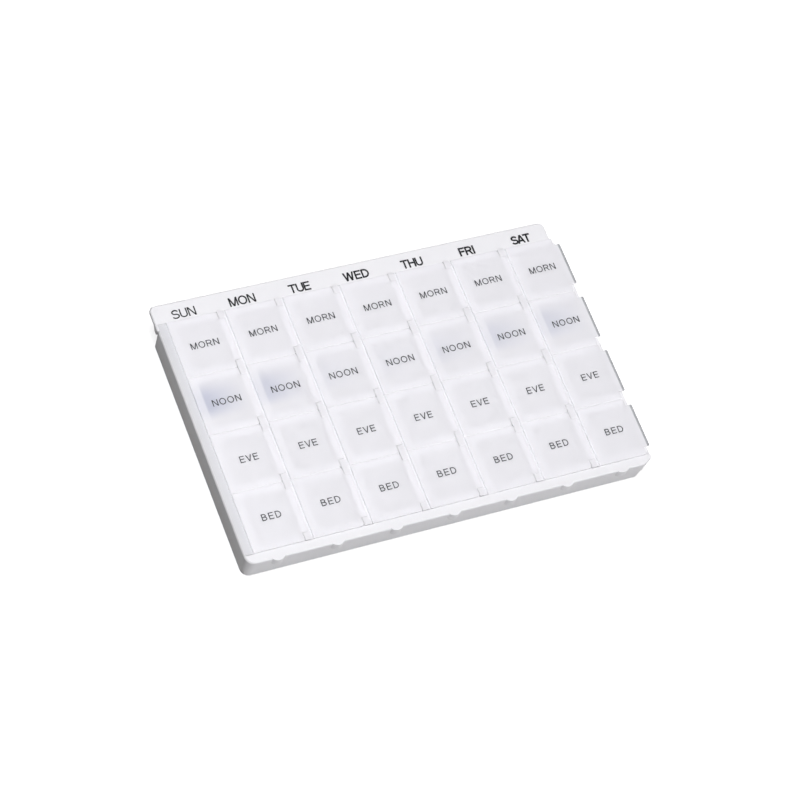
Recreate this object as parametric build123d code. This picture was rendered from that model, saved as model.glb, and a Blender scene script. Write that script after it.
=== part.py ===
from build123d import *
import os
from math import cos, radians, sin

# A weekly pill organizer: one moulded tray of 28 wells, seven days wide and four times deep.
# Each day has a hinge rail staked to the tray, and the rail carries four lids with a finger tab.
# Millimetres. While modelling, X and Y start at the middle of the grid of cells; +X runs from
# Sunday to Saturday, +Y towards the ledge with the day names, and Z = 0 is the table.

DAYS = ("sun", "mon", "tue", "wed", "thu", "fri", "sat")
TIMES = ("bed", "eve", "noon", "morn")

# Cells
COLUMN_PITCH = 30.5
ROW_PITCH = 31.7

# Heights
DECK_TOP = 14.1
DECK_THICKNESS = 2.0
RIM_HEIGHT = 1.1
LID_RISE = 1.9

# Outer walls of the tray
SIDE_MARGIN = 0.75
FRONT_MARGIN = 4.9
FRONT_RIM_WIDTH = 4.75
LEFT_RIM_WIDTH = 0.85
SKIRT_THICKNESS = 1.2
WALL_DRAFT = 3.0
FRONT_CORNER_RADIUS = 5.0
BACK_CORNER_RADIUS = 3.5
RIM_BREAK = 0.6

# Ledge that carries the day names
LEDGE_DEPTH = 10.4
LEDGE_THICKNESS = 1.8
LEDGE_LEFT_OVERHANG = 0.4
LEDGE_RIGHT_SETBACK = 1.3
LEDGE_CORNER_RADIUS = 3.0
LEDGE_ROOT = 2.0

# Wells, measured from the edges of their cell
WELL_LEFT_LAND = 8.05
WELL_RIGHT_LAND = 0.85
WELL_END_LAND = 3.15
WELL_DRAFT = 2.0
SCOOP_RADIUS = 5.0
FLOOR_THICKNESS = 1.2
CUP_WALL = 1.0
CUP_CHAMFER = 3.5
BACK_WALL = 2.15

# Catch bosses under the front rim, one for each day
BOSS_WIDTH = 5.8
BOSS_DEPTH = 1.3
BOSS_HEIGHT = 6.5
BOSS_LEAD_IN = 1.6

# Hinge rails
HINGE_OFFSET = 4.85
BEAD_RADIUS = 0.8
HINGE_CLEARANCE = 0.08
RAIL_RECESS = 0.8
RAIL_CLEARANCE = 0.1
RAIL_TOP_DROP = 0.25
RAIL_TOE = 0.3
CRADLE_ANGLE = 30.0
CRADLE_CHAMFER = 0.21
PAD_RISE = 0.85
PAD_WIDTH = 2.7
PAD_GAP = 0.25
PEG_OFFSET = 1.7
PEG_THICKNESS = 2.0
PEG_LENGTH = 5.0
PEG_CLEARANCE = 0.05
BARB_OVERHANG = 0.5
BARB_HEIGHT = 1.6

# Lids
PLATE_THICKNESS = 0.85
LID_GAP = 0.5
LID_EDGE_GAP = 0.15
SKIRT_START = 1.0
SKIRT_WIDTH = 0.6
PLUG_CLEARANCE = 0.25
PLUG_WALL = 0.8
PLUG_DEPTH = 1.5
TAB_REACH = 3.35
TAB_LENGTH = 23.6
TAB_CORNER = 0.9
LIP_LENGTH = 1.3

# Worked out from the sizes above
GRID_WIDTH = COLUMN_PITCH * len(DAYS)
GRID_DEPTH = ROW_PITCH * len(TIMES)
RIM_TOP = DECK_TOP + RIM_HEIGHT
LID_TOP = DECK_TOP + LID_RISE
PLATE_UNDER = LID_TOP - PLATE_THICKNESS
DECK_UNDER = DECK_TOP - DECK_THICKNESS
LEFT_EDGE = -GRID_WIDTH / 2 - SIDE_MARGIN
RIGHT_EDGE = GRID_WIDTH / 2 + SIDE_MARGIN
FRONT_EDGE = -GRID_DEPTH / 2 - FRONT_MARGIN
BACK_EDGE = GRID_DEPTH / 2 - WELL_END_LAND + BACK_WALL
LEDGE_BACK = GRID_DEPTH / 2 + LEDGE_DEPTH
LEDGE_LEFT = LEFT_EDGE - LEDGE_LEFT_OVERHANG
LEDGE_RIGHT = RIGHT_EDGE - LEDGE_RIGHT_SETBACK
HALF_COLUMN = COLUMN_PITCH / 2
HALF_ROW = ROW_PITCH / 2
HINGE_X = -HALF_COLUMN + HINGE_OFFSET
HINGE_Z = LID_TOP - BEAD_RADIUS
WELL_WIDTH = COLUMN_PITCH - WELL_LEFT_LAND - WELL_RIGHT_LAND
WELL_DEPTH = ROW_PITCH - 2 * WELL_END_LAND
WELL_X = (WELL_LEFT_LAND - WELL_RIGHT_LAND) / 2
LID_LENGTH = ROW_PITCH - LID_GAP
LID_RIGHT = HALF_COLUMN - LID_EDGE_GAP
RAIL_TOP = HINGE_Z - RAIL_TOP_DROP
RAIL_BOTTOM = DECK_TOP - RAIL_RECESS
RAIL_LEFT = -HALF_COLUMN + 2 * RAIL_CLEARANCE
RAIL_RIGHT = HINGE_X + RAIL_TOE
RAIL_LENGTH = GRID_DEPTH - 2 * RAIL_CLEARANCE
PEG_X = HINGE_X - PEG_OFFSET

# The part stands with its origin under the middle of everything, on the table.
ORIGIN_X = (LEDGE_LEFT + GRID_WIDTH / 2 + TAB_REACH) / 2
ORIGIN_Y = (FRONT_EDGE - BOSS_DEPTH + LEDGE_BACK) / 2
TO_ORIGIN = Pos(-ORIGIN_X, -ORIGIN_Y, 0)


def column_x(day):
    return (day + 0.5) * COLUMN_PITCH - GRID_WIDTH / 2


def row_y(time):
    return (time + 0.5) * ROW_PITCH - GRID_DEPTH / 2


def block(x_low, x_high, y_low, y_high, z_low, z_high):
    """A plain block between two corners."""
    middle = Pos((x_low + x_high) / 2, (y_low + y_high) / 2, (z_low + z_high) / 2)
    return middle * Box(x_high - x_low, y_high - y_low, z_high - z_low)


def outline(inset=0.0):
    """The tray's footprint at its rim, with rounder corners in front."""
    width = RIGHT_EDGE - LEFT_EDGE - 2 * inset
    depth = BACK_EDGE - FRONT_EDGE - 2 * inset
    face = Pos((LEFT_EDGE + RIGHT_EDGE) / 2, (FRONT_EDGE + BACK_EDGE) / 2) * Rectangle(width, depth)
    corners = face.vertices().sort_by(Axis.Y)
    face = fillet(corners[:2], FRONT_CORNER_RADIUS - inset)
    corners = face.vertices().sort_by(Axis.Y)
    return fillet(corners[-2:], BACK_CORNER_RADIUS - inset)


def ledge():
    """The flat ledge behind the wells, thickened where it grows out of the back wall."""
    root = BACK_EDGE - BACK_WALL
    under = RIM_TOP - LEDGE_THICKNESS
    section = Polyline(
        (root, RIM_TOP), (LEDGE_BACK, RIM_TOP), (LEDGE_BACK, under), (BACK_EDGE + LEDGE_ROOT, under),
        (BACK_EDGE, under - LEDGE_ROOT), (root, under - LEDGE_ROOT), close=True,
    )
    bar = extrude(Plane.YZ * make_face(section), amount=LEDGE_RIGHT - LEDGE_LEFT)
    bar = Pos(LEDGE_LEFT, 0, 0) * bar
    corners = bar.edges().filter_by(Axis.Z).group_by(Axis.Y)[-1]
    bar = fillet(corners, LEDGE_CORNER_RADIUS)
    back = bar.faces().sort_by(Axis.Z)[-1].edges().sort_by(Axis.Y)[1:]
    return chamfer(back, RIM_BREAK)


def tray_shell():
    """Drafted outer wall, rim and ledge, solid inside, with the sunk field that the lids lie in."""
    shell = extrude(Pos(0, 0, RIM_TOP) * outline(), amount=-RIM_TOP, taper=WALL_DRAFT)
    shell = chamfer(shell.faces().sort_by(Axis.Z)[-1].edges(), RIM_BREAK)
    field = block(
        LEFT_EDGE + LEFT_RIM_WIDTH, RIGHT_EDGE + TAB_REACH,
        FRONT_EDGE + FRONT_RIM_WIDTH, GRID_DEPTH / 2, DECK_TOP, LID_TOP,
    )
    return shell + ledge() - field


def catch_bosses():
    """Low round-faced bosses on the front wall, flush with the rim and led in from below."""
    radius = ((BOSS_WIDTH / 2) ** 2 + BOSS_DEPTH ** 2) / (2 * BOSS_DEPTH)
    disc = Pos(0, FRONT_EDGE - BOSS_DEPTH + radius, RIM_TOP) * Circle(radius)
    boss = extrude(disc, amount=-BOSS_HEIGHT)
    boss &= block(-BOSS_WIDTH, BOSS_WIDTH, FRONT_EDGE - BOSS_DEPTH, FRONT_EDGE + SKIRT_THICKNESS,
                  RIM_TOP - BOSS_HEIGHT, RIM_TOP)
    lowest = boss.edges().group_by(Axis.Z)[0].sort_by(Axis.Y)[0]
    boss = chamfer(lowest, BOSS_LEAD_IN, BOSS_DEPTH)
    return [Pos(column_x(day), 0, 0) * boss for day in range(len(DAYS))]


def well_section(wall, z_low):
    """A drafted well cut across, with a wall added: the outside of its cup."""
    slope = sin(radians(WELL_DRAFT)) / cos(radians(WELL_DRAFT))
    top = WELL_WIDTH / 2 + wall
    bottom = top - (DECK_TOP - z_low) * slope
    return make_face(Polyline(
        (WELL_X - top, DECK_TOP), (WELL_X + top, DECK_TOP),
        (WELL_X + bottom, z_low), (WELL_X - bottom, z_low), close=True,
    ))


def well():
    """The hollow of one well, its floor scooped up to both sides so that pills roll out."""
    section = well_section(0, FLOOR_THICKNESS)
    section = fillet(section.vertices().sort_by(Axis.Y)[:2], SCOOP_RADIUS)
    return extrude(Plane.XZ * section, amount=WELL_DEPTH / 2, both=True)


def cup():
    """The outside of a well where it hangs below the deck."""
    section = well_section(CUP_WALL, 0)
    section = chamfer(section.vertices().sort_by(Axis.Y)[:2], CUP_CHAMFER)
    body = extrude(Plane.XZ * section, amount=WELL_DEPTH / 2 + CUP_WALL, both=True)
    return body & block(
        -HALF_COLUMN, HALF_COLUMN + CUP_WALL, -HALF_ROW, HALF_ROW, 0, DECK_UNDER)


def at_cells(shape):
    return [
        Pos(column_x(day), row_y(time), 0) * shape
        for day in range(len(DAYS))
        for time in range(len(TIMES))
    ]


def rail_seat():
    """The channel in the deck that takes one hinge rail, with a slot for each of its pegs."""
    seat = block(RAIL_LEFT - RAIL_CLEARANCE, RAIL_RIGHT + RAIL_CLEARANCE,
                 -GRID_DEPTH / 2, GRID_DEPTH / 2, RAIL_BOTTOM, DECK_TOP)
    half_x = PEG_THICKNESS / 2 + PEG_CLEARANCE
    half_y = PEG_LENGTH / 2 + PEG_CLEARANCE
    slot = block(PEG_X - half_x, PEG_X + half_x, -half_y, half_y,
                 DECK_UNDER - DECK_THICKNESS, DECK_TOP)
    return seat + [Pos(0, y, 0) * slot for y in peg_places()]


def peg_places():
    """One snap peg at each joint between two rows."""
    return [row_y(time) + HALF_ROW for time in range(len(TIMES) - 1)]


def make_tray():
    tray = tray_shell()
    bottom_inset = SKIRT_THICKNESS + RIM_TOP * sin(radians(WALL_DRAFT)) / cos(radians(WALL_DRAFT))
    tray -= extrude(outline(bottom_inset), amount=DECK_UNDER)
    tray += at_cells(cup())
    tray += catch_bosses()
    tray -= at_cells(well())
    tray -= [Pos(column_x(day), 0, 0) * rail_seat() for day in range(len(DAYS))]
    return tray


def snap_peg():
    """A flat peg with a barb at each end that catches under the deck."""
    catch = DECK_UNDER - PEG_CLEARANCE
    tip = catch - BARB_HEIGHT
    shank = PEG_LENGTH / 2
    barb = shank + BARB_OVERHANG
    profile = make_face(Polyline(
        (-shank, RAIL_BOTTOM), (-shank, catch), (-barb, catch), (-shank + BARB_OVERHANG, tip),
        (shank - BARB_OVERHANG, tip), (barb, catch), (shank, catch), (shank, RAIL_BOTTOM), close=True,
    ))
    return Pos(PEG_X, 0, 0) * extrude(Plane.YZ * profile, amount=PEG_THICKNESS / 2, both=True)


def rail_pads():
    """Raised pads that fill the spaces between the finger tabs of the column to the left."""
    half_space = (ROW_PITCH - TAB_LENGTH) / 2 - PAD_GAP
    right = RAIL_LEFT + PAD_WIDTH
    pads = [block(RAIL_LEFT, right, y - half_space, y + half_space, RAIL_TOP, RAIL_TOP + PAD_RISE)
            for y in peg_places()]
    end = RAIL_LENGTH / 2
    pads.append(block(RAIL_LEFT, right, -end, half_space - end, RAIL_TOP, RAIL_TOP + PAD_RISE))
    pads.append(block(RAIL_LEFT, right, end - half_space, end, RAIL_TOP, RAIL_TOP + PAD_RISE))
    return pads


def make_rail(with_pads):
    """The bar that four lids hinge on: a cradle along its right edge, snap pegs beneath."""
    reach = BEAD_RADIUS + HINGE_CLEARANCE
    toe_z = HINGE_Z - (reach ** 2 - RAIL_TOE ** 2) ** 0.5
    lip = (HINGE_X - reach * cos(radians(CRADLE_ANGLE)), HINGE_Z - reach * sin(radians(CRADLE_ANGLE)))
    section = make_face([
        Line((RAIL_LEFT, RAIL_BOTTOM), (RAIL_RIGHT, RAIL_BOTTOM)),
        Line((RAIL_RIGHT, RAIL_BOTTOM), (RAIL_RIGHT, toe_z)),
        ThreePointArc((RAIL_RIGHT, toe_z), (HINGE_X, HINGE_Z - reach), lip),
        Line(lip, (lip[0] - CRADLE_CHAMFER, RAIL_TOP)),
        Line((lip[0] - CRADLE_CHAMFER, RAIL_TOP), (RAIL_LEFT, RAIL_TOP)),
        Line((RAIL_LEFT, RAIL_TOP), (RAIL_LEFT, RAIL_BOTTOM)),
    ])
    rail = extrude(Plane.XZ * section, amount=RAIL_LENGTH / 2, both=True)
    rail += [Pos(0, y, 0) * snap_peg() for y in peg_places()]
    return rail + rail_pads() if with_pads else rail


def lid_plate():
    """The lid's plate with its hinge bead along the left edge."""
    bead_x = HINGE_X + (BEAD_RADIUS ** 2 - (HINGE_Z - PLATE_UNDER) ** 2) ** 0.5
    turn = BEAD_RADIUS * cos(radians(45))
    section = make_face([
        Line((HINGE_X, LID_TOP), (LID_RIGHT, LID_TOP)),
        Line((LID_RIGHT, LID_TOP), (LID_RIGHT, PLATE_UNDER)),
        Line((LID_RIGHT, PLATE_UNDER), (bead_x, PLATE_UNDER)),
        ThreePointArc((bead_x, PLATE_UNDER), (HINGE_X - turn, HINGE_Z - turn), (HINGE_X, LID_TOP)),
    ])
    return extrude(Plane.XZ * section, amount=LID_LENGTH / 2, both=True)


def finger_tab():
    """The tab on the side away from the hinge, its end rolled over into a lip."""
    tab_end = HALF_COLUMN + TAB_REACH
    section = make_face([
        Line((LID_RIGHT, LID_TOP), (tab_end - LIP_LENGTH, LID_TOP)),
        TangentArc((tab_end - LIP_LENGTH, LID_TOP), (tab_end, PLATE_UNDER), tangent=(1, 0)),
        Line((tab_end, PLATE_UNDER), (LID_RIGHT, PLATE_UNDER)),
        Line((LID_RIGHT, PLATE_UNDER), (LID_RIGHT, LID_TOP)),
    ])
    tab = extrude(Plane.XZ * section, amount=TAB_LENGTH / 2, both=True)
    plan = block(LID_RIGHT, tab_end, -TAB_LENGTH / 2, TAB_LENGTH / 2, PLATE_UNDER, LID_TOP)
    corners = plan.edges().filter_by(Axis.Z).group_by(Axis.X)[-1]
    return tab & chamfer(corners, TAB_CORNER)


def ribs_under(half_x, half_y, wall, z_low):
    """Ribs along the four sides of the well, hanging from the plate."""
    outer = block(WELL_X - half_x, WELL_X + half_x, -half_y, half_y, z_low, PLATE_UNDER)
    inner = block(WELL_X - half_x + wall, WELL_X + half_x - wall,
                  -half_y + wall, half_y - wall, z_low, PLATE_UNDER)
    return outer - inner


def lid_skirt():
    """The low wall that the lid rests on, open towards the hinge."""
    left = HINGE_X + SKIRT_START
    half_y = LID_LENGTH / 2
    outer = block(left, LID_RIGHT, -half_y, half_y, DECK_TOP, PLATE_UNDER)
    inner = block(left, LID_RIGHT - SKIRT_WIDTH, -half_y + SKIRT_WIDTH, half_y - SKIRT_WIDTH,
                  DECK_TOP, PLATE_UNDER)
    return outer - inner


def make_lid():
    """A lid: hinge bead, thin plate with a finger tab, and below it a skirt and a plug."""
    plug_x = WELL_WIDTH / 2 - PLUG_CLEARANCE
    plug_y = WELL_DEPTH / 2 - PLUG_CLEARANCE
    lid = lid_plate() + finger_tab() + lid_skirt()
    return lid + ribs_under(plug_x, plug_y, PLUG_WALL, DECK_TOP - PLUG_DEPTH)


def save(shape, name):
    export_step(TO_ORIGIN * shape, os.path.join("parts", name + ".step"))


def build_all():
    os.makedirs("parts", exist_ok=True)
    save(make_tray(), "tray")
    first_rail = make_rail(with_pads=False)
    rail = make_rail(with_pads=True)
    lid = make_lid()
    for day, day_name in enumerate(DAYS):
        save(Pos(column_x(day), 0, 0) * (rail if day else first_rail), "hinge_rail_" + day_name)
        for time, time_name in enumerate(TIMES):
            save(Pos(column_x(day), row_y(time), 0) * lid, "lid_" + day_name + "_" + time_name)


build_all()
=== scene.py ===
# %% [markdown]
# # A weekly pill organizer
# The real thing is a flat white tray, injection moulded in polypropylene, with 28 wells: seven days
# across and four times of day deep. Each well has its own thin frosted lid that hinges at its left
# side and has a finger tab at its right. The CAD model already has every solid at its true size, and
# this lesson gives them their looks. First the CAD model is loaded as a fixed frame, and its box is
# kept, because nothing that follows may grow past it.

# %% Load the frame
import math

import bmesh
import bpy
from mathutils import Matrix, Vector
from mathutils.geometry import delaunay_2d_cdt


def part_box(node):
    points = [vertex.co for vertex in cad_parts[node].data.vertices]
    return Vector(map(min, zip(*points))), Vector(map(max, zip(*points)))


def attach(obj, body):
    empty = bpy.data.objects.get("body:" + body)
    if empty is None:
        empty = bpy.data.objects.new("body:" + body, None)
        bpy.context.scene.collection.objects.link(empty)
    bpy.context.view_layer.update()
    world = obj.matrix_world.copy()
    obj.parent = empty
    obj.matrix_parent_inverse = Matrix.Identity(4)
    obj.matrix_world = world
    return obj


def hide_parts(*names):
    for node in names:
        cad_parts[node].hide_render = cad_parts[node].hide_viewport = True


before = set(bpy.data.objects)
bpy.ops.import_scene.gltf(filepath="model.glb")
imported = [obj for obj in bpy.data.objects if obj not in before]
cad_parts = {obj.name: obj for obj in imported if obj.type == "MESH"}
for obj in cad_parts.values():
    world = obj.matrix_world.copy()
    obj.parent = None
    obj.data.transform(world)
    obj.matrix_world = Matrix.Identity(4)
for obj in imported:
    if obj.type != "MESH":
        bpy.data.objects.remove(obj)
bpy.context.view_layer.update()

# %% [markdown]
# Every size below is written in millimetres, as on the drawing, and multiplied by MM once.
# The days and times give the names of the CAD nodes: lid_sun_bed, hinge_rail_sun and so on.

# %% Names and units
MM = 0.001
DAYS = ("sun", "mon", "tue", "wed", "thu", "fri", "sat")
TIMES = ("bed", "eve", "noon", "morn")


def lid_name(day, time):
    return "lid_" + day + "_" + time


print(len(DAYS) * len(TIMES), "lids")

# %% [markdown]
# The camera stands where the photographer stood, to the front and left of the tray and well above
# it. Its place and turn were fitted to the corners and words of the tray in the photo. A long lens
# keeps the rows almost parallel. The camera is tilted a little to one side, which is why the rows
# climb to the right.

# %% Camera
CAMERA_PLACE = Vector((-517.9, -531.4, 1212.2)) * MM
CAMERA_TURN = (28.757, -13.450, -21.347)
LENS = 130.11
SENSOR = 36.0

camera_data = bpy.data.cameras.new("camera")
camera_data.lens = LENS
camera_data.sensor_width = SENSOR
camera = bpy.data.objects.new("camera", camera_data)
camera.location = CAMERA_PLACE
camera.rotation_euler = [math.radians(turn) for turn in CAMERA_TURN]
bpy.context.scene.collection.objects.link(camera)
bpy.context.scene.camera = camera
print("camera", round(CAMERA_PLACE.length, 3), "m from the tray")

# %% [markdown]
# Colours are written as sRGB hex, the way a colour picker gives them, and one function turns them
# to the linear values that the shaders need. Another adds a node with its settings and its links,
# so that each material below reads as a short list.

# %% Colour and node helpers
SRGB_TOE = 0.04045
SRGB_SLOPE = 12.92
SRGB_OFFSET = 0.055
SRGB_POWER = 2.4


def linear(hex_colour):
    """An sRGB hex colour as linear red, green, blue and alpha."""
    channels = [int(hex_colour[place:place + 2], 16) / 255 for place in (1, 3, 5)]
    return [
        c / SRGB_SLOPE if c <= SRGB_TOE else ((c + SRGB_OFFSET) / (1 + SRGB_OFFSET)) ** SRGB_POWER
        for c in channels
    ] + [1.0]


def new_material(name):
    """A material with an empty node tree."""
    material = bpy.data.materials.new(name)
    material.use_nodes = True
    material.node_tree.nodes.clear()
    return material


def add_node(tree, kind, links=None, settings=None, **sockets):
    """Adds one node. Sockets are set by name; links give (node, its output) for an input."""
    node = tree.nodes.new(kind)
    for name, value in (settings or {}).items():
        setattr(node, name, value)
    for name, value in sockets.items():
        node.inputs[name.replace("_", " ")].default_value = value
    for name, (source, output) in (links or {}).items():
        tree.links.new(source.outputs[output], node.inputs[name])
    return node


print("#F2F2F2 is", [round(c, 3) for c in linear("#F2F2F2")])

# %% [markdown]
# Light that enters white plastic a millimetre thick wanders through it and leaves by its edges, so
# the narrow gaps between the lids look nearly as pale as their tops. The renderer's scattering
# stays inside one solid and doesn't carry light across a gap, and deeper bounces would be slow and
# noisy. So the faces that look into those gaps get a faint glow of their own: in full where they
# face -X, and by a share where they face either end along Y. Faces towards +X stay as they are.

# %% Edge glow
TO_LEFT = -1.0
END_SHARE = 0.25


def edge_glow(tree, place, strength):
    """The strength of the light that leaves by the left and end faces of a thin piece."""
    apart = add_node(tree, "ShaderNodeSeparateXYZ", {"Vector": (place, "Normal")})
    left = add_node(tree, "ShaderNodeMath", {0: (apart, "X")}, {"operation": "MULTIPLY"})
    left.inputs[1].default_value = TO_LEFT
    ends = add_node(tree, "ShaderNodeMath", {0: (apart, "Y")}, {"operation": "ABSOLUTE"})
    weak = add_node(tree, "ShaderNodeMath", {0: (ends, "Value")}, {"operation": "MULTIPLY"})
    weak.inputs[1].default_value = END_SHARE
    side = add_node(tree, "ShaderNodeMath", {0: (left, "Value"), 1: (weak, "Value")},
                    {"operation": "MAXIMUM"})
    glow = add_node(tree, "ShaderNodeMath", {0: (side, "Value")},
                    {"operation": "MULTIPLY", "use_clamp": True})
    glow.inputs[1].default_value = strength
    return glow


print("ends glow by", END_SHARE, "of the left faces")

# %% [markdown]
# The tray is polypropylene from a mould with a fine spark-eroded texture. That leaves a satin
# surface: it scatters nearly all light, shows a broad soft shine at a low angle, and its edges are
# slightly round. The grain is about 0.15 mm, too fine for this view, so it is drawn at 0.4 mm and
# kept very shallow. A second, slower noise makes the colour wander by one percent, as flow does
# when a part is moulded. Scattering below the surface softens what a plain diffuse shader would
# show too hard.

# %% Moulded plastic
PLASTIC_IOR = 1.49
GRAIN = 0.4
GRAIN_HEIGHT = 0.01
GRAIN_STRENGTH = 0.15
FLOW = 45.0


def moulded_plastic(name, low, high, roughness, depth, edges=0.0):
    """Satin polypropylene whose colour wanders slowly; light enters it to a depth in mm, and its left
    and end faces get a painted glow of the given strength.
    """
    material = new_material(name)
    tree = material.node_tree
    place = add_node(tree, "ShaderNodeTexCoord")
    flow = add_node(tree, "ShaderNodeTexNoise", {"Vector": (place, "Object")},
                    Scale=1 / (FLOW * MM), Detail=2.0)
    tone = add_node(tree, "ShaderNodeMix", {"Factor": (flow, "Fac")}, {"data_type": "RGBA"})
    tone.inputs[6].default_value = linear(low)
    tone.inputs[7].default_value = linear(high)
    grain = add_node(tree, "ShaderNodeTexNoise", {"Vector": (place, "Object")},
                     Scale=1 / (GRAIN * MM), Detail=1.0)
    bump = add_node(tree, "ShaderNodeBump", {"Height": (grain, "Fac")},
                    Strength=GRAIN_STRENGTH, Distance=GRAIN_HEIGHT * MM)
    skin = add_node(tree, "ShaderNodeBsdfPrincipled",
                    {"Base Color": (tone, 2), "Normal": (bump, "Normal")},
                    Roughness=roughness, IOR=PLASTIC_IOR, Subsurface_Weight=1.0,
                    Subsurface_Radius=(1.0, 1.0, 1.0), Subsurface_Scale=depth * MM)
    # painted glow: the faces that look into gaps emit a faint white light
    if edges:
        skin.inputs["Emission Color"].default_value = linear("#FFFFFF")
        tree.links.new(edge_glow(tree, place, edges).outputs["Value"],
                       skin.inputs["Emission Strength"])
    add_node(tree, "ShaderNodeOutputMaterial", {"Surface": (skin, "BSDF")})
    return material


print("grain", GRAIN, "mm, flow marks", FLOW, "mm")

# %% [markdown]
# The tray has the roughest mould. The hinge strips are thinner and smoother, so they shine a little
# more and let light deeper in. Sunday's strip lies open along the left rim, with no lid before it,
# and gets a darker copy of the strips' plastic: painted shade, for its greyer tone beside the rim.

# %% Plastic of the tray and the strips
TRAY_ROUGHNESS = 0.5
TRAY_DEPTH = 0.6
SMOOTH_ROUGHNESS = 0.38
STRIP_DEPTH = 1.0
STRIP_PAINTED_GLOW = 0.05

tray_plastic = moulded_plastic(
    "white_polypropylene", "#EEEFF0", "#F2F2F3", TRAY_ROUGHNESS, TRAY_DEPTH)
rail_plastic = moulded_plastic(
    "hinge_strip_polypropylene", "#EAEAEC", "#EEEEF0", SMOOTH_ROUGHNESS, STRIP_DEPTH, STRIP_PAINTED_GLOW)
# Sunday's strip: painted shade, a darker copy of the strip plastic.
sunday_shaded_plastic = moulded_plastic(
    "first_strip_painted_shade", "#DCDDDF", "#E0E1E3", SMOOTH_ROUGHNESS, STRIP_DEPTH, STRIP_PAINTED_GLOW)
for name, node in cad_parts.items():
    node.data.materials.clear()
    plastic = rail_plastic if name.startswith("hinge") else tray_plastic
    node.data.materials.append(sunday_shaded_plastic if name == "hinge_rail_sun" else plastic)
print("materials:", tray_plastic.name, rail_plastic.name, sunday_shaded_plastic.name)

# %% [markdown]
# The lids are the same plastic without white pigment, moulded thin and textured on top, so they
# look frosted: most light scatters at the surface, and some goes through and shows, softly, what
# lies below. A shader that really scatters light inside a wall this thin would be slow and noisy.
# So the skin is a satin white, mixed with a small share that lets a ray straight on. The inner side
# of a wall lets every ray out, so a wall counts once. Rays that look for a lamp pass more freely,
# because scattered light reaches the wells from all over the lid.

# %% Lid material
LID_CLEAR = 0.04
LID_GLOW = 0.87
LID_DEPTH = 1.5
LID_PAINTED_GLOW = 0.11


def frosted_plastic(name, low, high, tint, clear, roughness):
    """Natural polypropylene: a satin skin that a part of the light goes straight through."""
    material = moulded_plastic(name, low, high, roughness, LID_DEPTH, LID_PAINTED_GLOW)
    tree = material.node_tree
    skin = tree.nodes["Principled BSDF"]
    output = tree.nodes["Material Output"]
    path = add_node(tree, "ShaderNodeLightPath")
    side = add_node(tree, "ShaderNodeNewGeometry")
    share = add_node(tree, "ShaderNodeMix", {"Factor": (path, "Is Shadow Ray")})
    share.inputs[2].default_value = clear
    share.inputs[3].default_value = LID_GLOW
    inner = add_node(tree, "ShaderNodeMath", {0: (share, 0), 1: (side, "Backfacing")},
                     {"operation": "MAXIMUM"})
    through = add_node(tree, "ShaderNodeBsdfTransparent", Color=linear(tint))
    mix = add_node(tree, "ShaderNodeMixShader",
                   {0: (inner, "Value"), 1: (skin, "BSDF"), 2: (through, "BSDF")})
    tree.links.new(mix.outputs["Shader"], output.inputs["Surface"])
    return material


lid_plastic = frosted_plastic(
    "frosted_polypropylene", "#E4E4E6", "#E8E8EA", "#FFFFFF", LID_CLEAR, SMOOTH_ROUGHNESS)
print("lid:", lid_plastic.name)

# %% [markdown]
# Two painted shades below change the plastic's colour in one part of a lid. Both lay a second colour
# over the first, and a chain of nodes says how much of it shows at each place.


# %% Lay a colour over a plastic
def lay_over(material, amount, output, colour):
    """Lays a colour over a plastic's own, by a share that a node gives."""
    tree = material.node_tree
    skin = tree.nodes["Principled BSDF"]
    below = skin.inputs["Base Color"].links[0].from_node
    tone = add_node(tree, "ShaderNodeMix", {"Factor": (amount, output)}, {"data_type": "RGBA"})
    tree.links.new(below.outputs[2], tone.inputs[6])
    tone.inputs[7].default_value = linear(colour)
    tree.links.new(tone.outputs[2], skin.inputs["Base Color"])


print("a second colour can be laid over", lid_plastic.name)

# %% [markdown]
# The noon lids carry a faint blue-grey painted shade over their wells. It is strongest beside the
# hinge and a little behind the middle, and fades out to the right and towards both ends. It could be
# painted on the mesh, but a few ramps along X and Y in the shader keep it soft at any size. Each ramp
# gives its axis, where it starts and ends, its value before and after, and its kind. X counts from
# the hinge and Y from the middle of the lid. The days differ in strength.

# %% Painted shade of the noon lids
BEAD_RADIUS = 0.8
NOON_SHADE_COLOUR = "#C7CAD5"
NOON_SHADE_STRENGTH = {
    "sun": 1.0, "mon": 0.75, "tue": 0.2, "wed": 0.12, "thu": 0.27, "fri": 0.5, "sat": 0.58,
}
SHADE_RAMPS = (
    ("X", 2.8, 4.0, 0.35, 1.0, "SMOOTHSTEP"),
    ("X", 6.0, 25.0, 1.0, 0.0, "LINEAR"),
    ("Y", -9.5, -2.0, 0.0, 1.0, "SMOOTHSTEP"),
    ("Y", 3.0, 14.5, 1.0, 0.0, "SMOOTHSTEP"),
)


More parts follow.
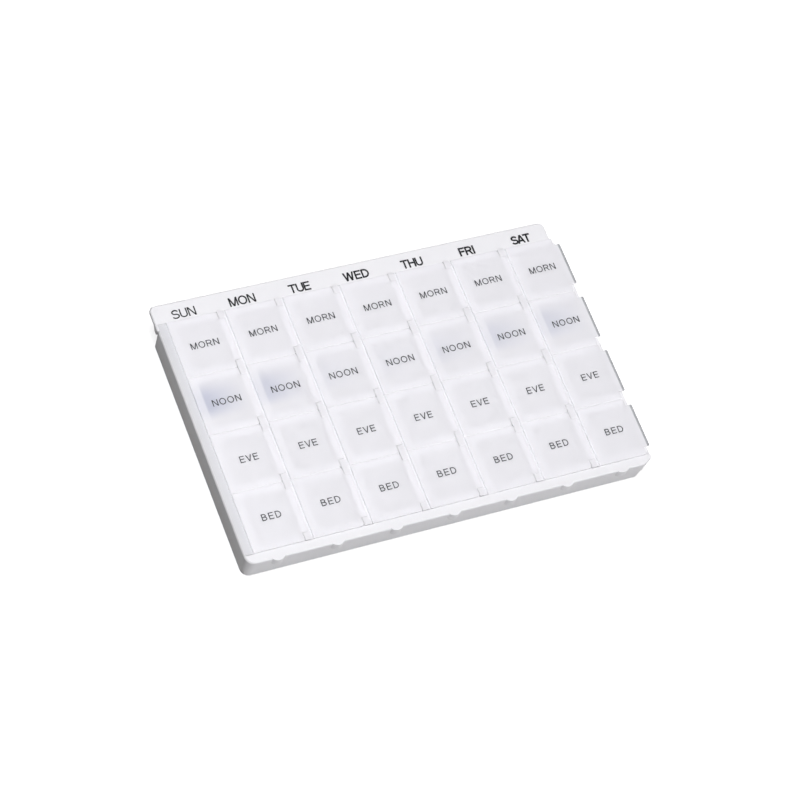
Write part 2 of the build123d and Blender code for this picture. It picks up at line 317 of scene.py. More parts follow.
def shade_noon_lid(day):
    """A copy of the lid plastic with the painted shade over one day's noon lid."""
    material = lid_plastic.copy()
    material.name = "painted_shade_polypropylene_" + day
    tree = material.node_tree
    low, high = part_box(lid_name(day, "noon"))
    zero = {"X": low.x + BEAD_RADIUS * MM, "Y": (low.y + high.y) / 2}
    place = add_node(tree, "ShaderNodeTexCoord")
    apart = add_node(tree, "ShaderNodeSeparateXYZ", {"Vector": (place, "Object")})
    amount = add_node(tree, "ShaderNodeValue")
    amount.outputs[0].default_value = NOON_SHADE_STRENGTH[day]
    for axis, first, last, before, after, kind in SHADE_RAMPS:
        share = add_node(tree, "ShaderNodeMapRange", {"Value": (apart, axis)},
                         {"interpolation_type": kind},
                         From_Min=zero[axis] + first * MM, From_Max=zero[axis] + last * MM,
                         To_Min=before, To_Max=after)
        amount = add_node(tree, "ShaderNodeMath", {0: (amount, "Value"), 1: (share, "Result")},
                          {"operation": "MULTIPLY"})
    # painted shade: the blue-grey is laid over the lid's colour by the ramps' share
    lay_over(material, amount, "Value", NOON_SHADE_COLOUR)
    return material


noon_shaded_plastic = {day: shade_noon_lid(day) for day in DAYS}
print("tinted:", ", ".join(sorted(material.name for material in noon_shaded_plastic.values())))

# %% [markdown]
# Saturday's tabs reach out past the tray. All other tabs lie over a white strip that sends light
# back up through their thin rolled ends, and these have only the air below, so their ends show as
# grey lines. Light that finds its way through two thin walls is slow to render, so a ramp along X
# darkens the ends of these four tabs instead. It runs between two distances from the tab's end.

# %% Tab ends of Saturday's lids
TAB_END_TONE = "#ACAEB0"
TAB_END_INNER = 1.8
TAB_END_OUTER = 1.3


def darken_tab_end(material):
    """Darkens the rolled ends of the tabs that reach out past the tray."""
    tree = material.node_tree
    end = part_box(lid_name("sat", "bed"))[1].x
    place = add_node(tree, "ShaderNodeTexCoord")
    apart = add_node(tree, "ShaderNodeSeparateXYZ", {"Vector": (place, "Object")})
    amount = add_node(tree, "ShaderNodeMapRange", {"Value": (apart, "X")},
                      From_Min=end - TAB_END_INNER * MM, From_Max=end - TAB_END_OUTER * MM)
    lay_over(material, amount, "Result", TAB_END_TONE)


last_plastic = lid_plastic.copy()
last_plastic.name = "frosted_polypropylene_last"
darken_tab_end(last_plastic)
darken_tab_end(noon_shaded_plastic["sat"])
print("tab ends:", last_plastic.name, noon_shaded_plastic["sat"].name)

# %% [markdown]
# All new pieces are shaped in edit mode, as by hand. The first helpers start a block between two
# corners and cut it across at given places, which makes the faces that later steps pull out.


# %% Start a block and cut it
def start_block(name, low, high):
    """A block between two corners, left in edit mode."""
    bpy.ops.object.select_all(action="DESELECT")
    bpy.ops.mesh.primitive_cube_add(size=1, location=(low + high) / 2, scale=high - low)
    bpy.ops.object.transform_apply(location=True, rotation=True, scale=True)
    bpy.context.object.name = name
    bpy.ops.object.mode_set(mode="EDIT")
    return bpy.context.object


def cut(axis, places):
    """Cuts all faces of the open mesh where X, Y or Z has the given values."""
    normal = [float(axis == letter) for letter in "XYZ"]
    for place in places:
        bpy.ops.mesh.select_all(action="SELECT")
        bpy.ops.mesh.bisect(plane_co=[n * place for n in normal], plane_no=normal)


print("blocks can be cut along X, Y and Z")

# %% [markdown]
# By hand, faces are clicked. Here they are picked by where they lie and which way they face, edges
# by their middle and their run, and corners by their place. What is picked can be pulled out.
#
# Some of Blender's tools leave new parts in an order that varies from run to run, and later steps
# would then divide flat faces differently. So after each of these the mesh is written anew in the
# same shape: its corners sorted by place, and each face beginning at the first of its corners.

# %% Pick and pull
FACING = 0.9
DECIMALS = 7


def pick(kind, test):
    """Selects the faces, edges or corners of the open mesh that pass the test."""
    bpy.ops.mesh.select_mode(type=kind)
    bpy.ops.mesh.select_all(action="DESELECT")
    mesh = bmesh.from_edit_mesh(bpy.context.object.data)
    for part in {"FACE": mesh.faces, "EDGE": mesh.edges, "VERT": mesh.verts}[kind]:
        if kind == "FACE":
            part.select_set(test(part.calc_center_median(), part.normal))
        elif kind == "VERT":
            part.select_set(test(part.co, part.normal))
        else:
            ends = [corner.co for corner in part.verts]
            part.select_set(test((ends[0] + ends[1]) / 2, (ends[1] - ends[0]).normalized()))
    mesh.select_flush_mode()
    bmesh.update_edit_mesh(bpy.context.object.data)


def put_in_order():
    """Writes the open mesh anew, with its corners and faces in a fixed order."""
    bpy.ops.object.mode_set(mode="OBJECT")
    mesh = bpy.context.object.data
    places = [[round(value, DECIMALS) for value in corner.co] for corner in mesh.vertices]
    order = sorted(range(len(places)), key=lambda number: places[number])
    corners = [mesh.vertices[number].co.copy() for number in order]
    new_numbers = {number: new for new, number in enumerate(order)}
    faces = []
    for face in mesh.polygons:
        around = [new_numbers[number] for number in face.vertices]
        start = around.index(min(around))
        faces.append(around[start:] + around[:start])
    mesh.clear_geometry()
    mesh.from_pydata(corners, [], sorted(faces))
    bpy.ops.object.mode_set(mode="EDIT")


def pull(x=0.0, y=0.0, z=0.0):
    """Extrudes what is selected by the given distance."""
    bpy.ops.mesh.extrude_region_move(TRANSFORM_OT_translate={"value": (x, y, z)})
    put_in_order()


print("a face looks one way where its normal reaches", FACING)

# %% [markdown]
# Moulded edges are never quite sharp, so most sharp ones get a bevel. They are found by the angle
# between their two faces, between two heights, and only where they bulge outwards.

# %% Find sharp edges and round them
SHARP = math.radians(25)
ABOVE_ALL = 1.0


def pick_sharp(lowest, highest, shortest=0.0, test=None):
    """Selects the sharp outward edges of the open mesh that lie between two heights."""
    bpy.ops.mesh.select_mode(type="EDGE")
    bpy.ops.mesh.select_all(action="DESELECT")
    mesh = bmesh.from_edit_mesh(bpy.context.object.data)
    for edge in mesh.edges:
        heights = [corner.co.z for corner in edge.verts]
        inside = lowest < min(heights) and max(heights) < highest
        sharp = edge.is_convex and edge.calc_face_angle(0.0) > SHARP
        wanted = test is None or test((edge.verts[0].co + edge.verts[1].co) / 2)
        edge.select_set(inside and sharp and wanted and edge.calc_length() > shortest)
    mesh.select_flush_mode()
    bmesh.update_edit_mesh(bpy.context.object.data)


def soften(width, segments):
    """Rounds the selected edges."""
    bpy.ops.mesh.bevel(offset=width, segments=segments, affect="EDGES", clamp_overlap=False)
    put_in_order()


print("an edge is sharp from", round(math.degrees(SHARP)), "degrees")

# %% [markdown]
# A finished piece is shaded round over its small bevels, and flat over its large faces. Weighted
# normals do that: the larger a face, the more its direction counts at a shared corner. First the
# corners that lie on one another are merged, because a double corner breaks the shading.

# %% Finish a piece
MERGE = 0.001
ROUND_ANGLE = 35.0


def apply_modifier(piece, kind, **settings):
    """Adds a modifier to the active piece and applies it."""
    modifier = piece.modifiers.new(kind.lower(), kind)
    for name, value in settings.items():
        setattr(modifier, name, value)
    bpy.ops.object.modifier_apply(modifier=modifier.name)


def choose(piece):
    """Makes a piece the only one selected."""
    bpy.ops.object.select_all(action="DESELECT")
    bpy.context.view_layer.objects.active = piece
    piece.select_set(True)


def shade_round(piece):
    """Smooths the shading over the rounds and keeps the large faces flat."""
    choose(piece)
    bpy.ops.object.mode_set(mode="EDIT")
    bpy.ops.mesh.select_all(action="SELECT")
    bpy.ops.mesh.remove_doubles(threshold=MERGE * MM)
    bpy.ops.mesh.dissolve_degenerate(threshold=MERGE * MM)
    bpy.ops.object.mode_set(mode="OBJECT")
    bpy.ops.object.shade_smooth_by_angle(angle=math.radians(ROUND_ANGLE), keep_sharp_edges=False)
    apply_modifier(piece, "WEIGHTED_NORMAL", keep_sharp=True)


print("corners closer than", MERGE, "mm are merged")

# %% [markdown]
# Two places fit the photo better when a surface moves a little. The pads of the hinge strips fill
# almost the whole space between two tabs, so their sides move out until they nearly touch the tabs.
# And the outside of the tray's right wall stands further out, under Saturday's tabs, so the notches
# between these show a narrower gap. Both keep the solid's faces and move only the chosen ones.

# %% Wider pads and right wall
DECK_DROP = 0.25
PAD_SPREAD = 0.2
PAD_MARGIN = 0.1
PAD_CUT = 0.01
WALL_SPREAD = 1.3
WALL_SKIN = 1.0

tray_low, tray_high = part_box("tray")


def widen_pads(low, high):
    """Moves the sides of a strip's pads out, until they almost touch the tabs between them."""
    deck = tray_high.z - DECK_DROP * MM
    margin = PAD_MARGIN * MM
    cut("Z", [deck + PAD_CUT * MM])
    for side in (-1, 1):
        pick("FACE", lambda at, out: at.z > deck + margin and out.y * side > FACING
             and low.y + margin < at.y < high.y - margin)
        bpy.ops.transform.translate(value=(0, side * PAD_SPREAD * MM, 0))
    pick("FACE", lambda at, out: at.z > deck + margin and out.x < -FACING)
    bpy.ops.transform.translate(value=(-PAD_SPREAD * MM, 0, 0))


def widen_right():
    """Moves the outside of the tray's right wall out, under the tabs of Saturday's lids."""
    pick("EDGE", lambda at, run: at.x > tray_high.x - WALL_SKIN * MM)
    bpy.ops.transform.translate(value=(WALL_SPREAD * MM, 0, 0))


print("right wall moves out by", WALL_SPREAD, "mm")

# %% [markdown]
# The tray and the hinge strips have the right shape already, so a copy of each CAD mesh is where
# they start. A mould never leaves an edge quite sharp. The copy's loose triangles are merged into
# faces, and the edges that a finger meets, all near the top, are rounded by a bevel. The bright
# line along the real rim is light caught by exactly such a round. The tray's outer edges get a
# larger round than its inner ones. Edges shorter than a bevel needs are left alone.

# %% Rounded copies of CAD pieces
COPY_FLAT = 0.5
CLOSE = 0.08
SHORT_EDGE = 0.3
ROUND_STEPS = 3


def round_copy(name, lowest, widths, outer):
    """A copy of a CAD node with its outer, then its other sharp edges above a height rounded."""
    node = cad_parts[name]
    piece = bpy.data.objects.new("moulded_" + name, node.data.copy())
    bpy.context.scene.collection.objects.link(piece)
    choose(piece)
    bpy.ops.mesh.customdata_custom_splitnormals_clear()
    bpy.ops.object.mode_set(mode="EDIT")
    bpy.ops.mesh.select_all(action="SELECT")
    bpy.ops.mesh.remove_doubles(threshold=MERGE * MM)
    bpy.ops.mesh.dissolve_limited(angle_limit=math.radians(COPY_FLAT))
    if name == "tray":
        widen_right()
    elif name != "hinge_rail_sun":
        widen_pads(*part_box(name))
    pick("EDGE", lambda at, run: at.z > lowest)
    bpy.ops.mesh.remove_doubles(threshold=CLOSE * MM)
    for width, wanted in zip(widths, (outer, lambda at: not outer(at))):
        pick_sharp(lowest, ABOVE_ALL, SHORT_EDGE * MM, wanted)
        soften(width * MM, ROUND_STEPS)
    bpy.ops.object.mode_set(mode="OBJECT")
    shade_round(piece)
    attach(piece, "base")
    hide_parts(name)
    return piece


print("rounds in", ROUND_STEPS, "steps")

# %% [markdown]
# On the tray, an edge counts as outer where it lies close to the outline, seen from above. At the
# left the rim is narrow, so the band is narrow there too, or it would catch the rim's inner edge.

# %% Tray and hinge strips
RIM_ROUND = 0.15
INNER_ROUND = 0.05
RIM_BAND = 0.7
RIM_OUTER = 2.1
RIM_THIN = 1.1
STRIP_ROUND = 0.1


def on_outline(at):
    """Whether a place lies close to the tray's outline, seen from above."""
    sides = (at.x - tray_low.x, tray_high.x - at.x, at.y - tray_low.y, tray_high.y - at.y)
    return min(sides) < RIM_OUTER * MM and (sides[0] > RIM_OUTER * MM or sides[0] < RIM_THIN * MM)


tray = round_copy("tray", tray_high.z - RIM_BAND * MM, (RIM_ROUND, INNER_ROUND), on_outline)
print(tray.name, len(tray.data.polygons), "faces")
for day in DAYS:
    strip = round_copy("hinge_rail_" + day, tray_high.z, (STRIP_ROUND, STRIP_ROUND), lambda at: True)
    print(strip.name, len(strip.data.polygons), "faces")

# %% [markdown]
# The lids are all alike, so one is modelled, Sunday's bedtime lid, and the others repeat it. Its
# place comes from the CAD lid's box. It is a touch longer than the CAD's, which keeps a wider gap
# for its motion than the photo shows, and its top lies a touch lower, to leave room for the ink.

# %% Measures of one lid
TAB_OUT = 3.5
PLATE = 0.85
LID_SPREAD = 0.18
LID_DIP = 0.05
NEAR = 0.01

lid_low, lid_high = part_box(lid_name("sun", "bed"))
lid_low.y -= LID_SPREAD * MM
lid_high.y += LID_SPREAD * MM
middle = (lid_low.y + lid_high.y) / 2
hinge = lid_low.x + BEAD_RADIUS * MM
right = lid_high.x - TAB_OUT * MM
top = lid_high.z - LID_DIP * MM
plate_low = lid_high.z - PLATE * MM
bead = (BEAD_RADIUS - LID_DIP) * MM
near = NEAR * MM
plate_sides = (right - hinge, lid_high.y - lid_low.y, top - plate_low)
print("plate in mm:", [round(side / MM, 2) for side in plate_sides])

# %% [markdown]
# The lid starts as its plate. The bead that turns in the hinge strip is one with it: a square bar
# pulled down along the left side, and bevelled until it is round. The top left edge of the plate is
# a corner of the same bar. The two corners away from the hinge are rounded, seen from above.

# %% Plate and hinge bead
BEAD_ROUND = 0.93
BEAD_STEPS = 6
LID_CORNER = 1.2
CORNER_STEPS = 5

first_lid = start_block(
    "lid", Vector((hinge - bead, lid_low.y, plate_low)), Vector((right, lid_high.y, top)))
cut("X", [hinge + bead])
pick("FACE", lambda at, out: out.z < -FACING and at.x < hinge + bead)
pull(z=top - 2 * bead - plate_low)
pick("EDGE", lambda at, run: abs(run.y) > FACING and at.x < hinge + bead + near
     and (at.x < hinge - bead + near or at.z < plate_low - near))
soften(BEAD_ROUND * bead, BEAD_STEPS)
pick("EDGE", lambda at, run: abs(run.z) > FACING and abs(at.x - right) < near)
soften(LID_CORNER * MM, CORNER_STEPS)
print("bead", round(2 * bead / MM, 2), "mm across")

# %% [markdown]
# The finger tab is pulled out of the middle of the right side. It stops short of both ends of the
# lid, where the pads of the next strip stand, and its two corners are rounded like the lid's.

# %% Finger tab
TAB_HALF = 11.8
TAB_CORNER = 0.8
TAB_STEPS = 4

tab = TAB_HALF * MM
cut("Y", (middle - tab, middle + tab))
pick("FACE", lambda at, out: out.x > FACING and at.x > right - near and abs(at.y - middle) < tab)
pull(x=TAB_OUT * MM)
pick("EDGE", lambda at, run: abs(run.z) > FACING and abs(at.x - lid_high.x) < near)
soften(TAB_CORNER * MM, TAB_STEPS)
print("tab", 2 * TAB_HALF, "mm long")

# %% [markdown]
# The tab's end is rolled over where a nail goes under. A bevel would leave a step at the rounded
# corners, so the end is cut across in strips that get finer outwards, and at each corner point too.
# Then the top corners of every cut are lowered along a quarter of an ellipse.

# %% Rolled tab end
LIP_LENGTH = 1.3
LIP_DROP = 0.7
LIP_CUTS = 5

lip = LIP_LENGTH * MM
cut("X", [lid_high.x - (1 - math.sin(math.pi / 2 * number / LIP_CUTS)) * lip
          for number in range(LIP_CUTS)])
places = sorted({round(corner.co.x, DECIMALS) for corner in bmesh.from_edit_mesh(first_lid.data).verts
                 if corner.co.x > lid_high.x - lip})
cut("X", places[:-1])
for place in places:
    along = min(1 - (lid_high.x - place) / lip, 1)
    drop = (1 - math.sqrt(1 - along ** 2)) * LIP_DROP * MM
    pick("VERT", lambda at, out: abs(at.x - place) < near / 10 and at.z > top - near)
    bpy.ops.transform.translate(value=(0, 0, -drop))
print("rolled over at", len(places), "places")

# %% [markdown]
# Below the plate, a skirt and a plug are pulled down. The skirt runs round three sides and stands on
# the deck. The plug is a closed rib that seats in the well. Both need the plate's underside cut into
# bands as wide as their walls, and each is then the faces that lie in its own bands.

# %% Skirt and plug
SKIRT_START = 1.0
SKIRT_WALL = 0.6
SKIRT_DEPTH = 1.04
PLUG_LEFT = 3.45
PLUG_RIGHT = 24.55
PLUG_HALF = 12.45
PLUG_WALL = 0.8
PLUG_DEPTH = 2.5

skirt_left = hinge + SKIRT_START * MM
skirt_right = right - SKIRT_WALL * MM
skirt_half = (lid_high.y - lid_low.y) / 2 - SKIRT_WALL * MM
plug_left = hinge + PLUG_LEFT * MM
plug_right = hinge + PLUG_RIGHT * MM
plug_half = PLUG_HALF * MM
wall = PLUG_WALL * MM


def in_skirt(at, out):
    """Whether a face is part of the skirt's foot."""
    inside = skirt_left < at.x < skirt_right and abs(at.y - middle) < skirt_half
    return out.z < -FACING and skirt_left < at.x < right and not inside


def in_plug(at, out):
    """Whether a face is part of the plug's foot."""
    outer = plug_left < at.x < plug_right and abs(at.y - middle) < plug_half
    inner = plug_left + wall < at.x < plug_right - wall and abs(at.y - middle) < plug_half - wall
    return out.z < -FACING and outer and not inner


cut("X", (skirt_left, plug_left, plug_left + wall, plug_right - wall, plug_right, skirt_right, right))
cut("Y", (middle - skirt_half, middle + skirt_half, middle - plug_half, middle + plug_half,
          middle - plug_half + wall, middle + plug_half - wall))
pick("FACE", in_skirt)
pull(z=-SKIRT_DEPTH * MM)
pick("FACE", in_plug)
pull(z=-PLUG_DEPTH * MM)
print("skirt", SKIRT_DEPTH, "mm and plug", PLUG_DEPTH, "mm deep")

# %% [markdown]
# The cuts have done their work, so faces that lie in one plane are joined again. Then the edges of
# the plate are rounded, and the feet of the skirt and the plug get a small chamfer. Those lie in
# the dark, and 28 lids repeat them, so one step is enough there.

# %% Soft edges of the lid
FLAT = 1.0
LID_SOFTNESS = 0.2
SKIRT_SOFTNESS = 0.1

bpy.ops.mesh.select_all(action="SELECT")
bpy.ops.mesh.remove_doubles(threshold=MERGE * MM)
bpy.ops.mesh.dissolve_limited(angle_limit=math.radians(FLAT))
pick_sharp(top - LIP_DROP / 2 * MM, ABOVE_ALL)
soften(LID_SOFTNESS * MM, ROUND_STEPS)
pick_sharp(0.0, plate_low - near)
soften(SKIRT_SOFTNESS * MM, 1)
bpy.ops.object.mode_set(mode="OBJECT")
print("lid faces:", len(first_lid.data.polygons))

# %% [markdown]
# The lids of a real organizer come from one mould too. Each copy gets a mesh of its own, because a
# piece keeps its place in its mesh and not in its object, and takes the plastic of its day and time.
# It rides on the CAD lid's body, so it opens with it, and is shown in the CAD lid's stead.

# %% Twenty-eight lids
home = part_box(lid_name("sun", "bed"))[0]
for day in DAYS:
    for time in TIMES:
        name = lid_name(day, time)
        lid = first_lid.copy()
        lid.data = first_lid.data.copy()
        lid.name = "frosted_" + name
        lid.data.transform(Matrix.Translation(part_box(name)[0] - home))
        plain = last_plastic if day == "sat" else lid_plastic
        lid.data.materials.append(noon_shaded_plastic[day] if time == "noon" else plain)
        bpy.context.scene.collection.objects.link(lid)
        shade_round(lid)
        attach(lid, name)
        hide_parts(name)
bpy.data.objects.remove(first_lid)
print(len(DAYS) * len(TIMES), "lids in place")

# %% [markdown]
# The words are pad printed in black: the days in a heavier, larger type on the ledge, the times in
# a light, spaced type in the middle of each well. A text object would bring its own typeface. Plain
# capitals like these are simple to draw instead, as pen strokes. Each letter is given for capitals
# one unit high and a pen of a given width. The tables give how wide a letter is, how high its bar
# or waist lies, and where its bowls begin. The letter I is as wide as the pen.

# %% Proportions of the letters
ARC_STEPS = 12
LETTER_WIDTHS = {
    "A": 0.86, "B": 0.74, "D": 0.80, "E": 0.70, "F": 0.66, "H": 0.78, "M": 0.92, "N": 0.80,
    "O": 0.94, "R": 0.80, "S": 0.78, "T": 0.78, "U": 0.78, "V": 0.84, "W": 1.18,
}
BAR_HEIGHTS = {"A": 0.31, "B": 0.53, "E": 0.52, "F": 0.52, "H": 0.52, "R": 0.47, "S": 0.51}
BOWL_STARTS = {"B": 0.36, "D": 0.32, "R": 0.42}
A_BAR_INSET = 0.2
B_UPPER_SHARE = 0.9
SHORT_BAR = 0.05
DIAGONAL_START = 0.6
O_HALF_HEIGHT = 0.51
R_BOWL_END = 0.04
R_LEG_START = 0.36
S_UPPER_INSET = 0.02
U_BOWL_HEIGHT = 0.33
W_LOW_POINTS = (0.28, 0.72)


def arc(x, y, radius_x, radius_y, start, end):
    """Points on an ellipse between two angles in degrees."""
    angles = [math.radians(start + (end - start) * step / ARC_STEPS) for step in range(ARC_STEPS + 1)]
    return [(x + radius_x * math.cos(angle), y + radius_y * math.sin(angle)) for angle in angles]


print("letters drawn:", len(LETTER_WIDTHS) + len("I"))

# %% [markdown]
# Straight letters are stems, bars and diagonals, each a line between two points in the middle of
# the pen's track. What is no other letter is an I, which is one stem.


# %% Straight letters
def straight_strokes(letter, pen, wide):
    """The pen strokes of a capital made of straight lines."""
    h = pen / 2
    right, top, half = wide - h, 1 - h, wide / 2
    bar = BAR_HEIGHTS.get(letter)
    slope = pen * DIAGONAL_START
    stem = [(h, 0), (h, 1)]
    far_stem = [(right, 0), (right, 1)]
    if letter == "A":
        return [[(h, 0), (half, 1)], [(right, 0), (half, 1)],
                [(A_BAR_INSET, bar), (wide - A_BAR_INSET, bar)]]
    if letter in "EF":
        strokes = [stem, [(h, top), (wide, top)], [(h, bar), (wide - SHORT_BAR, bar)]]
        return strokes + [[(h, h), (wide, h)]] if letter == "E" else strokes
    if letter == "H":
        return [stem, far_stem, [(h, bar), (right, bar)]]
    if letter == "M":
        return [stem, far_stem, [(slope, 1), (half, 0)], [(wide - slope, 1), (half, 0)]]
    if letter == "N":
        return [stem, far_stem, [(slope, 1), (wide - slope, 0)]]
    if letter == "T":
        return [[(half, 0), (half, 1)], [(0, top), (wide, top)]]
    if letter == "V":
        return [[(h, 1), (half, 0)], [(right, 1), (half, 0)]]
    if letter == "W":
        low_left, low_right = [wide * share for share in W_LOW_POINTS]
        return [[(h, 1), (low_left, 0)], [(half, 1), (low_left, 0)],
                [(half, 1), (low_right, 0)], [(right, 1), (low_right, 0)]]
    return [stem]


print("strokes in E:", len(straight_strokes("E", 0.15, LETTER_WIDTHS["E"])))

# %% [markdown]
# Round letters are stems that run into arcs of an ellipse, in one stroke. The two bowls of B meet at
# its waist, and so do the two halves of S, which turn opposite ways.


# %% Round letters
def round_strokes(letter, pen, wide):
    """The pen strokes of a capital with bowls."""
    h = pen / 2
    right, top, half = wide - h, 1 - h, wide / 2
    waist = BAR_HEIGHTS.get(letter)
    start = BOWL_STARTS.get(letter)
    stem = [(h, 0), (h, 1)]
    if letter == "B":
        upper, lower = wide * B_UPPER_SHARE - h - start, right - start
        return [
            stem,
            [(h, top)] + arc(start, (top + waist) / 2, upper, (top - waist) / 2, 90, -90) + [(h, waist)],
            [(h, waist)] + arc(start, (h + waist) / 2, lower, (waist - h) / 2, 90, -90) + [(h, h)],
        ]
    if letter == "D":
        return [stem, [(h, top)] + arc(start, 0.5, right - start, 0.5 - h, 90, -90) + [(h, h)]]
    if letter == "O":
        return [arc(half, 0.5, half - h, O_HALF_HEIGHT - h, turn, turn + 180) for turn in (0, 180)]
    if letter == "R":
        bowl = arc(start, (top + waist) / 2, right - R_BOWL_END - start, (top - waist) / 2, 90, -90)
        return [stem, [(h, top)] + bowl + [(h, waist)], [(wide - R_LEG_START, waist), (right, 0)]]
    if letter == "S":
        upper = arc(half, (top + waist) / 2, half - h - S_UPPER_INSET, (top - waist) / 2, 15, 270)
        lower = arc(half, (h + waist) / 2, half - h, (waist - h) / 2, 90, -165)
        return [upper + lower[1:]]
    return [[(h, 1)] + arc(half, U_BOWL_HEIGHT, half - h, U_BOWL_HEIGHT - h, 180, 360) + [(right, 1)]]


def letter_strokes(letter, pen):
    """The pen strokes of one capital, and its width."""
    wide = LETTER_WIDTHS.get(letter, pen)
    draw = round_strokes if letter in "BDORSU" else straight_strokes
    return draw(letter, pen, wide), wide


print("strokes in O:", len(letter_strokes("O", 0.15)[0]))

# %% [markdown]
# Pad-printing ink is matt black, and where the film is thin the white below makes it greyer. So its
# colour wanders between two near-blacks. The times are printed with less ink than the days.

# %% Printing ink
INK_ROUGHNESS = 0.6
INK_IOR = 1.5
INK_PATCH = 1.5


def ink_material(name, thick, thin):
    """Pad-printing ink: matt black with a slight grey, thinner and greyer in places."""
    material = new_material(name)
    tree = material.node_tree
    place = add_node(tree, "ShaderNodeTexCoord")
    film = add_node(tree, "ShaderNodeTexNoise", {"Vector": (place, "Object")},
                    Scale=1 / (INK_PATCH * MM), Detail=2.0)
    tone = add_node(tree, "ShaderNodeMix", {"Factor": (film, "Fac")}, {"data_type": "RGBA"})
    tone.inputs[6].default_value = linear(thick)
    tone.inputs[7].default_value = linear(thin)
    skin = add_node(tree, "ShaderNodeBsdfPrincipled", {"Base Color": (tone, 2)},
                    Roughness=INK_ROUGHNESS, IOR=INK_IOR)
    add_node(tree, "ShaderNodeOutputMaterial", {"Surface": (skin, "BSDF")})
    return material


time_ink = ink_material("printing_ink_thin", "#26282C", "#3A3C42")
day_ink = ink_material("printing_ink_full", "#0C0D10", "#191B20")
print("ink:", time_ink.name, day_ink.name)

# %% [markdown]
# A stroke becomes a row of four-sided patches, one pen wide. Straight strokes that stand or slant
# end level, as type does. The letters of a word are spread evenly over its width.

# %% Patches of a word
STANDING = 0.5


def stroke_patches(points, pen):
    """The corners of the patches along one stroke."""
    sides = []
    for number, point in enumerate(points):
        before = Vector(points[max(number - 1, 0)])
        after = Vector(points[min(number + 1, len(points) - 1)])
        run = (after - before).normalized()
        across = Vector((-run.y, run.x)) * pen / 2
        if len(points) == 2 and abs(run.y) > STANDING:
            across = Vector((-math.copysign(pen / 2 / abs(run.y), run.y), 0))
        sides.append((Vector(point) + across, Vector(point) - across))
    return [(a, b, d, c) for (a, b), (c, d) in zip(sides, sides[1:])]


def word_patches(text, pen, width):
    """The patches of a word of capitals one unit high, with its letters spaced to a width."""
    letters = [letter_strokes(letter, pen) for letter in text]
    spare = width - sum(wide for strokes, wide in letters)
    gap = spare / (len(text) - 1)
    x = -width / 2
    patches = []
    for strokes, wide in letters:
        for stroke in strokes:
            patches += stroke_patches([(x + px, py - 0.5) for px, py in stroke], pen)
        x += wide + gap
    return patches


print("patches in NOON:", len(word_patches("NOON", 0.15, 4.0)))

# %% [markdown]
# The patches of a letter overlap, so Blender's flat triangulation merges them into one outline. It
# also says which patches cover a triangle, and those that none covers are left out. A solidify
# modifier then gives the word its thickness: ink lies a few hundredths of a millimetre proud. The
# word rides on the body that it is printed on.

# %% Print a word
INK_THICKNESS = 0.04
INSIDE_ONLY = 1
CLOSE_POINTS = 1e-5


def print_word(name, body, text, height, pen, width, place, ink):
    """One word in the middle of a place, as a thin mesh that rides on a body."""
    patches = word_patches(text, pen, width / height)
    corners = [corner for patch in patches for corner in patch]
    faces = [[4 * number + k for k in range(4)] for number in range(len(patches))]
    points, _, triangles, _, _, covered_by = delaunay_2d_cdt(
        corners, [], faces, INSIDE_ONLY, CLOSE_POINTS)
    triangles = [triangle for triangle, patch in zip(triangles, covered_by) if patch]
    mesh = bpy.data.meshes.new(name)
    mesh.from_pydata([(p.x * height * MM, p.y * height * MM, 0) for p in points], [], triangles)
    word = bpy.data.objects.new(name, mesh)
    bpy.context.scene.collection.objects.link(word)
    choose(word)
    bpy.ops.object.mode_set(mode="EDIT")
    bpy.ops.mesh.select_all(action="SELECT")
    bpy.ops.mesh.normals_make_consistent(inside=False)
    bpy.ops.mesh.dissolve_limited(angle_limit=math.radians(FLAT))
    bpy.ops.object.mode_set(mode="OBJECT")
    if mesh.polygons[0].normal.z < 0:
        mesh.flip_normals()
    apply_modifier(word, "SOLIDIFY", thickness=INK_THICKNESS * MM, offset=1.0)
    mesh.transform(Matrix.Translation(place))
    mesh.materials.append(ink)
    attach(word, body)


print("ink", INK_THICKNESS, "mm thick")

# %% [markdown]
# Each lid has its time of day, and the ledge has a day over each column. The sizes are those of the
# print in the photo, in millimetres, and a pen is a share of its word's height. The days' pen gets
# heavier along the week there, as if the pad had pressed harder at that end.

# %% The words
TIME_HEIGHT = 3.5
TIME_PEN = 0.122
TIME_X = 14.0
TIME_UP = {"bed": 0.35, "eve": 0.0, "noon": 0.1, "morn": 0.1}
TIME_WIDTHS = {"bed": 9.85, "eve": 9.3, "noon": 14.6, "morn": 14.4}
DAY_HEIGHT = 4.9
DAY_X = 10.7
DAY_Y = 7.0
DAY_PENS = {
    "sun": 0.13, "mon": 0.15, "tue": 0.16, "wed": 0.175, "thu": 0.17, "fri": 0.19, "sat": 0.19,
}
DAY_WIDTHS = {
    "sun": 12.3, "mon": 13.7, "tue": 11.3, "wed": 13.7, "thu": 11.7, "fri": 8.4, "sat": 10.8,
}

for day in DAYS:
    for time in TIMES:
        low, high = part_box(lid_name(day, time))
        place = Vector((low.x + (BEAD_RADIUS + TIME_X) * MM,
                        (low.y + high.y) / 2 + TIME_UP[time] * MM, high.z - LID_DIP * MM))
        print_word("word_" + day + "_" + time, lid_name(day, time), time.upper(),
                   TIME_HEIGHT, TIME_PEN, TIME_WIDTHS[time], place, time_ink)
    low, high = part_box(lid_name(day, "morn"))
    place = Vector((low.x + DAY_X * MM, tray_high.y - DAY_Y * MM, tray_high.z))
    print_word("word_" + day, "base", day.upper(),
               DAY_HEIGHT, DAY_PENS[day], DAY_WIDTHS[day], place, day_ink)
print("words printed:", len(DAYS) * (len(TIMES) + 1))

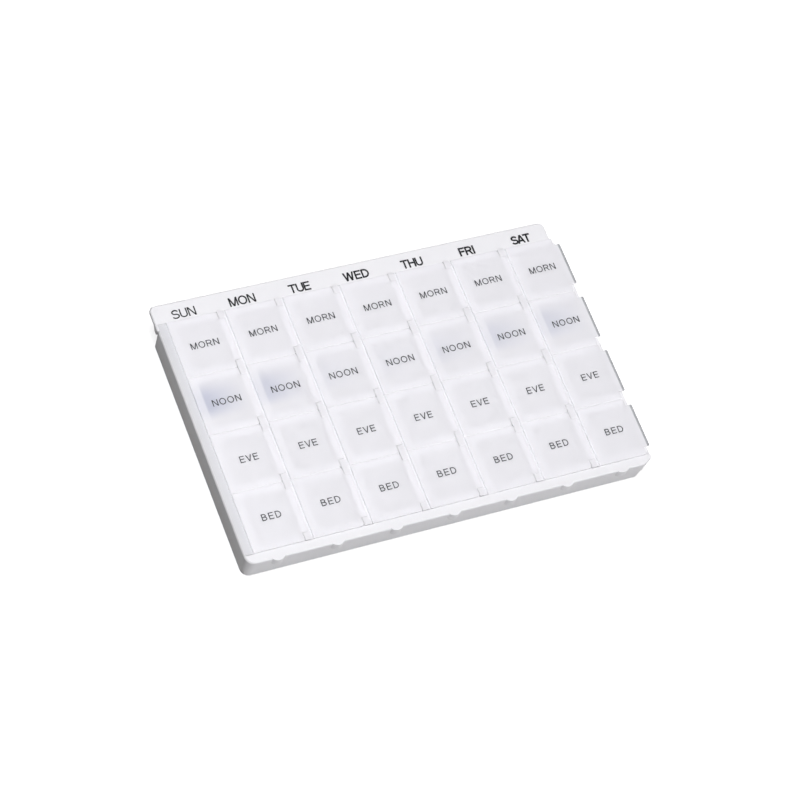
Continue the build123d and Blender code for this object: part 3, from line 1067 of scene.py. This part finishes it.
# %% [markdown]
# The tray stands on a pale tabletop that runs on past the camera's view. To the camera it is
# white, like the paper sweep of a catalogue photo, and it keeps a faint shadow under the tray.
# To the object's own rays it is a mid grey, so that the walls are not lit from below as strongly
# as the top is from above. That difference is what gives the white tray its form.

# %% Floor
FLOOR_SIZE = 6.0
FLOOR_DROP = 0.02
FLOOR_GLOW = 0.8

bpy.ops.mesh.primitive_plane_add(size=FLOOR_SIZE, location=(0, 0, -FLOOR_DROP * MM))
floor = bpy.context.object
floor.name = "floor"
floor_paper = new_material("paper_sweep")
tree = floor_paper.node_tree
path = add_node(tree, "ShaderNodeLightPath")
seen = add_node(tree, "ShaderNodeMath", {0: (path, "Is Camera Ray"), 1: (path, "Is Glossy Ray")},
                {"operation": "MAXIMUM"})
grey = add_node(tree, "ShaderNodeBsdfDiffuse", Color=linear("#7E7E7E"))
white = add_node(tree, "ShaderNodeBsdfDiffuse", Color=linear("#B0B0B0"))
glow = add_node(tree, "ShaderNodeEmission", Color=linear("#FFFFFF"), Strength=FLOOR_GLOW)
paper = add_node(tree, "ShaderNodeAddShader", {0: (white, "BSDF"), 1: (glow, "Emission")})
mix = add_node(tree, "ShaderNodeMixShader",
               {0: (seen, "Value"), 1: (grey, "BSDF"), 2: (paper, "Shader")})
add_node(tree, "ShaderNodeOutputMaterial", {"Surface": (mix, "Shader")})
floor.data.materials.append(floor_paper)
print("floor", FLOOR_SIZE, "m wide")

# %% [markdown]
# Above the tabletop the camera sees a white backdrop. The object sees a dim, slightly warm sky in
# its stead, which is all the light that reaches the sides turned away from the lamps.

# %% Backdrop and sky
SKY = 0.09
SKY_TINT = "#FFFAF2"

world = bpy.data.worlds.new("studio")
bpy.context.scene.world = world
world.use_nodes = True
tree = world.node_tree
tree.nodes.clear()
path = add_node(tree, "ShaderNodeLightPath")
sky = add_node(tree, "ShaderNodeBackground", Color=linear(SKY_TINT), Strength=SKY)
backdrop = add_node(tree, "ShaderNodeBackground", Color=linear("#FFFFFF"), Strength=1.0)
mix = add_node(tree, "ShaderNodeMixShader",
               {0: (path, "Is Camera Ray"), 1: (sky, "Background"), 2: (backdrop, "Background")})
add_node(tree, "ShaderNodeOutputWorld", {"Surface": (mix, "Shader")})
print("sky strength", SKY)

# %% [markdown]
# Three soft boxes light the tray, at about the level where a colour renders as it is written. The
# high one to the left does most for the tops and leaves the left wall, which it passes at a low
# angle, darker. The front one lights the front wall. The small one above evens out the middle. Their
# strengths were fitted to the tones of the top, the front wall and the left wall in the photo.

# %% Lamps
LAMP_TINT = "#FCFBFF"


def soft_box(name, place, size, power):
    """A square lamp that looks at the tray."""
    data = bpy.data.lights.new(name, "AREA")
    data.size = size
    data.energy = power
    data.color = linear(LAMP_TINT)[:3]
    lamp = bpy.data.objects.new(name, data)
    lamp.location = place
    lamp.rotation_euler = (-Vector(place)).to_track_quat("-Z", "Y").to_euler()
    bpy.context.scene.collection.objects.link(lamp)
    return lamp


top_light = soft_box("top_light", (0.0, 0.05, 0.8), 0.35, 1.2)
left_light = soft_box("left_light", (-0.3, 0.35, 1.9), 0.8, 21.5)
front_light = soft_box("front_light", (0.3, -2.4, 1.4), 1.0, 39.5)
print("lamps:", top_light.name, left_light.name, front_light.name)

# %% [markdown]
# Blender's own choice of view would bend the tones as film does and turn these whites grey. The
# standard view shows each colour as it is written, which is what the tones above were fitted to.

# %% Show the colours as written
bpy.context.scene.view_settings.view_transform = "Standard"
print("view:", bpy.context.scene.view_settings.view_transform)
